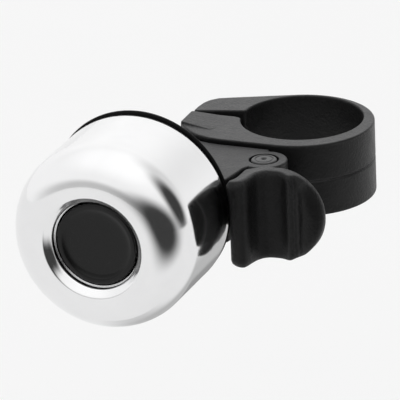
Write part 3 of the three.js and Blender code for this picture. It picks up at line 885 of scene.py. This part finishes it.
# The cap's dished top, from its middle out, and its underside back to the axis.
CAP_TOP = [
    (0, 18.5), (2, 18.505), (4.2, 18.53), (5.3, 18.59), (5.8, 18.67),
    (6.2, 18.8), (6.5, 18.93), (6.75, 18.99), (7.0, 19.0),
]
CAP_SKIRT = [
    (7.55, 18.2), (7.55, 15.9), (7.45, 15.65), (7.25, 15.55), (5.3, 15.55),
    (5.2, 15.65), (5.2, 17.7), (4.9, 18.0), (0, 18.0),
]


def make_cap():
    profile = spline(CAP_TOP, 6) + arc(7.05, 18.5, 0.5, 0.5, 88, 4, 10) + CAP_SKIRT
    ob = lathe(profile, 192, gong_at, closed=False)
    part(ob, "cap_disc", "gloss_black", "gong_cap", sharp=40, weighted=False)


# ------------------------------------------------------------ thumb lever

# Section of the thumb pad on its -Y side: (x, y).
PAD_SECTION = [
    (-1.15, -22.0), (-1.15, -30.6), (-2.05, -31.6), (-2.1, -33.0), (-1.8, -33.95),
    (-0.9, -34.45), (0.2, -34.68), (1.1, -34.75), (1.9, -34.4), (2.4, -33.5),
    (2.7, -32.2), (3.2, -30.8), (4.2, -29.9), (5.6, -29.6), (7.0, -29.65),
    (8.0, -30.0), (8.8, -30.35), (9.4, -30.1), (9.9, -29.72), (10.5, -29.8),
    (11.3, -30.25), (12.2, -30.3), (13.2, -30.1), (14.2, -29.9), (16.5, -29.6),
]
PAD_BACK = (16.5, -22.0)
PAD_CENTRE = (6.4, -0.25)  # x, z
PAD_R = 8.35
# The pad's outline seen along Y, above and below its round end: (x, z, radius).
PAD_ABOVE = [(-2.05, 6.55, 0.9), (0.8, 7.35, 3), (2.6, 7.85, 3), (4.4, 8.1, 3)]
PAD_BELOW = [
    (6.4, -8.42, 3), (4.6, -8.45, 3), (3.2, -8.6, 3), (1.6, -8.95, 2), (0.2, -8.95, 0.8),
    (-0.8, -8.6, 0.8), (-1.15, -7.9, 0.8), (-1.15, 2.2, 3), (-1.45, 3.8, 2), (-1.8, 5.2, 2),
]
# Width of the pad's rolled edge: (degrees round its centre, width).
ROLL_WIDTHS = [
    (-181, 1.75), (-135, 1.5), (-125, 1.4), (-112, 0.7), (-100, 0.5), (-35, 0.5),
    (-17, 1.35), (-2, 1.95), (12, 2.6), (27, 2.95), (42, 2.85), (56, 2.25), (67, 1.4),
    (77, 0.62), (100, 0.6), (112, 1.1), (126, 1.9), (140, 2.0), (181, 1.75),
]
# Plan of the web between hub and pad: (x, y, radius).
WEB = [(3.4, -17.9, 0.5), (-0.3, -20.5, 1.0), (-0.6, -23, 1.0), (0.3, -28.2, 0), (9.2, -28.2, 0)]
HUB_R = 3.85
HUB_HALF = 3.3  # half height of hub and web
GRID_LOW = (-6.79, -35.2, -9.4)
GRID_HIGH = (15.2, -15.3, 8.6)
GRID_PITCH = 0.17


def make_lever():
    section = spline(PAD_SECTION, 6) + [PAD_BACK]
    round_end = arc(*PAD_CENTRE, PAD_R, PAD_R, 90, -78, 110)
    face = rounded(PAD_ABOVE + with_radius(round_end, 0) + PAD_BELOW, 0.5, step=12)
    web = rounded(WEB, 0.5, step=15)
    angles, widths = zip(*ROLL_WIDTHS)

    def pad_field(x, y, z):
        angle = np.degrees(np.arctan2(z - PAD_CENTRE[1], x - PAD_CENTRE[0]))
        width = np.interp(angle, angles, widths)
        depth = 0.5 + (width - 0.5) / 2.45 * 1.45
        u = np.maximum((outline_distance(x, y, section) + depth) / depth, 0)
        v = np.maximum((outline_distance(x, z, face) + width) / width, 0)
        roll = (np.hypot(u, v) - 1) * np.minimum(depth, width)
        return round_max(roll, y + 27.5, 0.3)

    def field(x, y, z):
        # From the pin: plain x and y, then along and across the arm and the spring's leg.
        px, py = x - PIVOT[0], y - PIVOT[1]
        radial = np.hypot(px, py)
        along = px * ARM_DIR[0] + py * ARM_DIR[1]
        across = np.abs(px * ARM_SIDE[0] + py * ARM_SIDE[1])
        leg_along = px * LEG_DIR[0] + py * LEG_DIR[1]
        leg_across = np.abs(px * -LEG_DIR[1] + py * LEG_DIR[0])

        hub = round_max(radial - HUB_R, np.abs(z) - HUB_HALF, 0.25)
        rib = round_max(outline_distance(x, y, web), np.abs(z) - HUB_HALF, 0.3)
        stub = round_max(across - 1.7, np.abs(along - 4.1) - 3.2, 0.3)
        stub = round_max(stub, np.abs(z) - 2.4, 0.25)
        body = round_min(hub, rib, 0.8)
        body = round_min(body, pad_field(x, y, z), 0.9)
        body = round_min(body, stub, 0.4)

        pin = radial - 1.58
        arm_slot = np.maximum(np.maximum(across - 0.5, 3.4 - along), along - 8.2)
        rivet = np.maximum(np.hypot(along - RIVET_ALONG, z) - 0.85, across - 2.4)
        spring = np.maximum(radial - 3.05, z + 0.5)
        mouth = np.maximum(np.abs(px + 2.85) - 3.15, np.abs(py - 3.45) - 2.55)
        mouth = np.maximum(mouth, z + 0.5)  # opens the spring's pocket sideways
        leg = np.maximum(np.maximum(leg_across - 0.6, np.abs(leg_along - 3) - 3), z + 0.9)
        for hollow in (pin, arm_slot, rivet, spring, mouth, leg):
            body = round_max(body, -hollow, 0.12)
        return body

    ob = surface(field, GRID_LOW, GRID_HIGH, GRID_PITCH)
    part(
        ob, "thumb_lever_shell", "black_plastic", "thumb_lever",
        body="lever", look="lever_plastic", sharp=None,
    )


# ------------------------------------------------------------ screws, nuts and rings


def screw_thread(r, low, high, pitch, place):
    """A rod with a real helical thread, fading out at both ends."""
    segments = 40
    depth = 0.54 * pitch
    levels = int((high - low) / pitch * 4) + 1
    verts = []
    for i in range(levels + 1):
        height = low + (high - low) * i / levels
        fade = min(1.0, (height - low) / pitch, (high - height) / pitch + 0.02)
        for k in range(segments):
            phase = (height - low) / pitch - k / segments
            crest = abs((phase % 1.0) * 2 - 1)
            local_r = r - depth * (1 - crest) * fade if i else r - depth
            a = 2 * math.pi * k / segments
            verts.append(place(local_r * math.cos(a), local_r * math.sin(a), height))
    return capped_rings(verts, segments)


def socket_screw(place, tip, under, head_top, head_r, shank_r, pitch, socket, recess):
    """A domed head with a hexagonal socket down to recess; heights run from tip to head."""
    ob = screw_thread(shank_r, tip, under - 1.0, pitch, place)
    head = head_top - under
    dome = 0.55 * head
    side = under + 0.45 * head
    profile = [(0, under - 1.4), (shank_r, under - 1.4), (shank_r, under)]
    profile += [(head_r - 0.12, under), (head_r, under + 0.15), (head_r, side)]
    profile += arc(head_r - dome, side, dome, dome, 0, 90, 8)[1:] + [(0, head_top)]
    join(ob, lathe(profile, 72, place, closed=False))
    cut(ob, prism(hexagon(socket), recess, head_top + 1, place=place))
    return ob


def nut(place, flats, hole_r, low, high):
    """A hexagon nut with chamfered corners and a chamfered hole."""
    ob = prism(rounded(hexagon(flats), 0.15, step=20), low, high, place=place)
    r = flats / math.sqrt(3)
    corners = [(0, low - 0.01), (r - 0.35, low - 0.01), (r + 0.15, low + 0.4)]
    corners += [(r + 0.15, high - 0.4), (r - 0.35, high + 0.01), (0, high + 0.01)]
    combine(ob, lathe(corners, 96, place, closed=False), "INTERSECT")
    wide = hole_r + 0.25
    hole = [(0, low - 1), (wide, low - 1), (wide, low), (hole_r, low + 0.25)]
    hole += [(hole_r, high - 0.25), (wide, high), (wide, high + 1), (0, high + 1)]
    cut(ob, lathe(hole, 64, place, closed=False))
    return ob


def make_clamp_hardware():
    ob = socket_screw(
        clamp_at, tip=-17.8, under=4.2, head_top=6.5, head_r=2.8,
        shank_r=1.5, pitch=0.5, socket=2.0, recess=5.1,
    )
    part(ob, "clamp_screw_m3", "steel", "clamp_screw")
    ob = washer(1.6, 3.1, 3.65, 4.15, edge=0.12, place=clamp_at)
    part(ob, "clamp_washer_ring", "steel", "clamp_washer")
    ob = nut(clamp_at, flats=5.5, hole_r=1.6, low=-17.1, high=-14.7)
    part(ob, "clamp_nut_m3", "steel", "clamp_nut")


# Sections round the gong screw: (radius, height from the rim, corner radius).
BUSH = [
    (2.1, 13.35), (5, 13.35, 0.2), (5, 14.15, 0.2),
    (2.85, 14.15, 0.1), (2.85, 15.3, 0.15), (2.1, 15.3, 0.1),
]
SPACER = [(2.1, -0.25), (3.6, -0.25, 0.2), (3.6, 13.3, 0.2), (2.1, 13.3)]


def make_gong_hardware():
    ob = socket_screw(
        gong_at, tip=-8.2, under=16.0, head_top=17.8, head_r=3.6,
        shank_r=1.95, pitch=0.7, socket=2.4, recess=16.4,
    )
    part(ob, "gong_screw_m4", "steel", "gong_screw")
    ob = washer(2.1, 4.4, 15.45, 15.95, edge=0.12, place=gong_at)
    part(ob, "gong_washer_ring", "steel", "gong_washer")
    part(ring(BUSH, 0.08, gong_at), "gong_bush_ring", "nylon", "gong_bush")
    part(ring(SPACER, 0.12, gong_at), "gong_spacer_tube", "black_plastic", "gong_spacer")
    ob = nut(gong_at, flats=7.0, hole_r=2.05, low=-8.5, high=-5.35)
    part(ob, "gong_nut_m4", "steel", "gong_nut")


# Pivot pin: (radius, z), up the shank to the head, then in over a ring groove and a dimple.
PIN_SIDE = [
    (0, -7.3), (1.25, -7.3), (1.5, -7.0), (1.5, 5.15), (2.25, 5.15), (2.35, 5.3), (2.35, 5.72),
]
PIN_CROWN = [
    (1.85, 6.09), (1.74, 6.09), (1.68, 5.98), (1.6, 5.96), (1.52, 5.99), (1.44, 6.09),
    (0.85, 6.12), (0.58, 6.12), (0.44, 6.02), (0.3, 5.82), (0.12, 5.72), (0, 5.7),
]


def make_lever_pin():
    profile = PIN_SIDE + arc(2.0, 5.72, 0.35, 0.36, 0, 80, 5)[1:] + PIN_CROWN
    ob = lathe(profile, 96, pin_at, closed=False)
    part(ob, "lever_pin_turned", "pin_black", "lever_pin", sharp=40, weighted=False)

    ob = washer(1.56, 3.1, -6.6, -6.08, edge=0.1, place=pin_at)
    x, y = PIVOT
    cut(ob, box(x + 0.9, x + 4, y - 1.15, y + 1.15, -7, -5.5))  # the clip's open side
    part(ob, "pin_clip_ring", "steel", "pin_clip")


# ------------------------------------------------------------ torsion spring

COIL_R = 2.3
WIRE_R = 0.3
COIL_PITCH = 0.72
COIL_BOTTOM = -2.95
COIL_START = 90.0  # degrees round the pin
COIL_END = 34.8 - 720.0
LOWER_LEG_TIP = (PIVOT[0] - 6.6, PIVOT[1] + 2.3)
UPPER_LEG = 5.6  # its tip's distance from the pin


def make_spring():
    px, py = PIVOT
    turns = abs(COIL_END - COIL_START) / 360
    top = COIL_BOTTOM + COIL_PITCH * turns
    steps = int(turns * 56)

    def leg(root, tip, z, shares):
        return [(root[0] + (tip[0] - root[0]) * t, root[1] + (tip[1] - root[1]) * t, z)
                for t in shares]

    coil = []
    for i in range(steps + 1):
        a = math.radians(COIL_START + (COIL_END - COIL_START) * i / steps)
        z = COIL_BOTTOM + COIL_PITCH * turns * i / steps
        coil.append((px + COIL_R * math.cos(a), py + COIL_R * math.sin(a), z))
    upper_tip = (px + LEG_DIR[0] * UPPER_LEG, py + LEG_DIR[1] * UPPER_LEG)
    path = leg(coil[0], LOWER_LEG_TIP, COIL_BOTTOM, np.linspace(1, 0, 14)[:-1]) + coil
    path += leg(coil[-1], upper_tip, top, np.linspace(0, 1, 14)[1:])
    ob = wire(path, WIRE_R, 12)
    part(ob, "torsion_spring_wire", "steel", "torsion_spring", sharp=50, weighted=False)


# ------------------------------------------------------------ striker


def make_arm():
    px, py = PIVOT
    hx, hy = HAMMER
    corners = [(px + ARM_DIR[0] * reach, py + ARM_DIR[1] * reach) for reach in (4, 7.2)]
    corners += [(px - 7.6, py - 9.3), (px - 10.3, py - 15), (hx, hy + 4), (hx, hy + 0.6)]
    line = rounded(corners, 2.0, step=4, closed=False)
    half = 0.22  # of the strip's thickness
    strip = offset(line, -half) + offset(line, half)[::-1]
    ob = prism(strip, -1.5, 1.5, fillet=0.08, steps=2)
    cut(ob, rod(0.82, -3, 3, rivet_at, 48))
    part(ob, "hammer_arm_strip", "steel", "hammer_arm", body="striker")


def make_hammer():
    x, y = HAMMER
    ob = rod(2.3, -2.8, 2.8, along_z(x, y), 96, edge=0.4, edge_steps=4)
    cut(ob, box(x - 0.3, x + 0.3, y + 0.3, y + 4, -1.7, 1.7))  # slot for the arm
    part(ob, "hammer_drum", "hammer_brass", "hammer", body="striker")


# Rivet head: (radius, distance from the arm's middle).
RIVET_HEAD = [(0, 1.75), (1.4, 1.75), (1.4, 1.95), (1.25, 2.12), (0.9, 2.22), (0, 2.25)]


def make_rivet():
    ob = rod(0.76, -1.9, 1.9, rivet_at, 48)
    for side in (1, -1):
        profile = [(r, distance * side) for r, distance in RIVET_HEAD]
        join(ob, lathe(profile, 48, rivet_at, closed=False))
    part(ob, "arm_rivet_body", "steel", "arm_rivet", body="lever")


make_clamp()
make_bracket()
make_base_plate()
make_gong()
make_cap()
make_lever()
make_clamp_hardware()
make_gong_hardware()
make_lever_pin()
make_spring()
make_arm()
make_hammer()
make_rivet()

# ------------------------------------------------------------ stage, in metres

FLOOR_R = 9.0
FLOOR_Z = -0.12
SHADE_CENTRE = (-0.018, -0.034, 0.0)  # the floor's shades are seen from here
# The dark part of the studio on the camera's side: direction, half width and half height.
DARK_DIR = (0.656, -0.755)
DARK_HALF = (0.66, 0.44)
# Shades on the floor: (direction x and y, its z, half width, half height, strength).
FLOOR_SHADES = [
    (DARK_DIR, 0.0, *DARK_HALF, 1.0),
    ((0.1, 0.995), -0.68, 0.36, 0.34, 0.45),
    ((-0.2, 0.98), -0.47, 0.24, 0.14, 0.7),
]
# Soft patches in the surroundings: (direction, half width, half height, softness, brightness).
WORLD_PATCHES = [
    ((-0.36, 0.86, 0.50), 0.45, 0.30, 0.5, 1.12),
    ((-0.34, -0.93, 0.09), 0.60, 0.20, 0.6, 0.60),
    ((0.579, 0.579, 0.574), 0.34, 0.40, 0.6, 0.78),
    ((0.903, 0.209, 0.38), 0.35, 0.48, 0.45, 0.05),
    ((*DARK_DIR, 0.0), *DARK_HALF, 0.35, 0.05),
]


def soft_patch(t, direction, centre, across, up, start, end):
    """1 in an ellipse about centre, 0 outside; across and up are counted in half sizes."""
    fall = t.ramp(t.hypot(across, up), start=start, end=end, low=1.0, high=0.0)
    ahead = t.math("GREATER_THAN", t.vector("DOT_PRODUCT", direction, centre), 0.0)
    return t.math("MULTIPLY", fall, ahead)


def floor_shade(t, position):
    """Darkens what shiny parts see of the floor, towards the camera and behind the bell."""
    direction = t.vector("NORMALIZE", t.vector("SUBTRACT", position, SHADE_CENTRE))
    height = t.xyz(direction)[2]
    shade = 0.0
    for (cx, cy), level, half_width, half_height, strength in FLOOR_SHADES:
        sideways = t.vector("DOT_PRODUCT", direction, (-cy, cx, 0.0))
        across = t.math("DIVIDE", sideways, half_width)
        up = t.math("DIVIDE", t.math("SUBTRACT", height, level), half_height)
        patch = soft_patch(t, direction, (cx, cy, 0.0), across, up, start=0.6, end=1.35)
        shade = t.math("MAXIMUM", shade, t.math("MULTIPLY", patch, strength))
    return t.math("MULTIPLY", shade, t.add("ShaderNodeLightPath").outputs["Is Glossy Ray"])


def floor_material():
    """Pale and faintly mottled; clear when seen from below."""
    m = bpy.data.materials.new("pale_floor")
    m.use_nodes = True
    t = Nodes(m.node_tree)
    where = t.add("ShaderNodeTexCoord").outputs["Object"]
    pale = t.mix(t.noise(where, scale=14.0, detail=3.0), grey(0.937), grey(0.947))
    geometry = t.add("ShaderNodeNewGeometry").outputs
    colour = t.mix(floor_shade(t, geometry["Position"]), pale, grey(0.05))
    diffuse = t.add("ShaderNodeBsdfDiffuse", {"Color": colour}).outputs[0]
    clear = t.add("ShaderNodeBsdfTransparent").outputs[0]
    mixed = t.add("ShaderNodeMixShader", {0: geometry["Backfacing"], 1: diffuse, 2: clear})
    t.add("ShaderNodeOutputMaterial", {"Surface": mixed.outputs[0]})
    return m


def make_floor():
    n = 96
    verts = [(0, 0, FLOOR_Z)]
    verts += [(x, y, FLOOR_Z) for x, y in arc(0, 0, FLOOR_R, FLOOR_R, 0, 360, n)[:-1]]
    mesh = bpy.data.meshes.new("floor")
    mesh.from_pydata(verts, [], [(0, k + 1, (k + 1) % n + 1) for k in range(n)])
    ob = bpy.data.objects.new("floor", mesh)
    SCENE.collection.objects.link(ob)
    mesh.materials.append(floor_material())


def make_world():
    """Soft studio surroundings: white all round, brighter overhead, with a few soft patches."""
    world = bpy.data.worlds.new("studio")
    SCENE.world = world
    world.use_nodes = True
    t = Nodes(world.node_tree)
    direction = t.vector("NORMALIZE", t.add("ShaderNodeTexCoord").outputs["Generated"])
    level = t.ramp(t.xyz(direction)[2], start=0.5, end=0.97, low=1.03, high=1.19)
    for centre, half_width, half_height, softness, brightness in WORLD_PATCHES:
        centre = Vector(centre).normalized()
        side = centre.cross(Vector((0, 0, 1))).normalized()
        rise = side.cross(centre).normalized()
        across = t.math("DIVIDE", t.vector("DOT_PRODUCT", direction, tuple(side)), half_width)
        up = t.math("DIVIDE", t.vector("DOT_PRODUCT", direction, tuple(rise)), half_height)
        patch = soft_patch(
            t, direction, tuple(centre), across, up, start=1 - softness, end=1 + softness
        )
        rest = t.math("MULTIPLY", level, t.math("SUBTRACT", 1.0, patch))
        level = t.math("ADD", rest, t.math("MULTIPLY", patch, brightness))
    colour = t.add("ShaderNodeCombineColor", {"Red": level, "Green": level, "Blue": level})
    light = t.add("ShaderNodeBackground", {"Color": colour.outputs[0], "Strength": 1.0})
    t.add("ShaderNodeOutputWorld", {"Surface": light.outputs[0]})


CAMERA_TURN = math.radians(22.72)  # from -Y towards +X
CAMERA_RISE = math.radians(21.68)
CAMERA_ROLL = math.radians(-2.38)
CAMERA_DISTANCE = 900  # millimetres, as are the next two
TARGET_RIGHT = -18.99  # the aim, from the bore's centre across and up the view
TARGET_UP = -7.86


def make_camera():
    level = math.cos(CAMERA_RISE)
    back = Vector(
        (math.sin(CAMERA_TURN) * level, -math.cos(CAMERA_TURN) * level, math.sin(CAMERA_RISE))
    )
    right = Vector((math.cos(CAMERA_TURN), math.sin(CAMERA_TURN), 0))
    up = back.cross(right)
    target = right * TARGET_RIGHT + up * TARGET_UP
    place = (target + back * CAMERA_DISTANCE - ORIGIN) * MM
    rolled_right = right * math.cos(CAMERA_ROLL) + up * math.sin(CAMERA_ROLL)
    rolled_up = -right * math.sin(CAMERA_ROLL) + up * math.cos(CAMERA_ROLL)
    camera = bpy.data.cameras.new("camera")
    camera.lens = 447.9
    camera.sensor_width = 36.0
    camera.sensor_fit = "HORIZONTAL"
    camera.clip_start = 0.02
    camera.clip_end = 60
    ob = bpy.data.objects.new("camera", camera)
    columns = [v.to_4d() for v in (rolled_right, rolled_up, back, place)]
    for column in columns[:3]:
        column.w = 0
    ob.matrix_world = Matrix(columns).transposed()
    SCENE.collection.objects.link(ob)
    SCENE.camera = ob


make_floor()
make_world()
make_camera()
SCENE.view_settings.view_transform = "Standard"
SCENE.view_settings.look = "None"

bpy.context.view_layer.update()
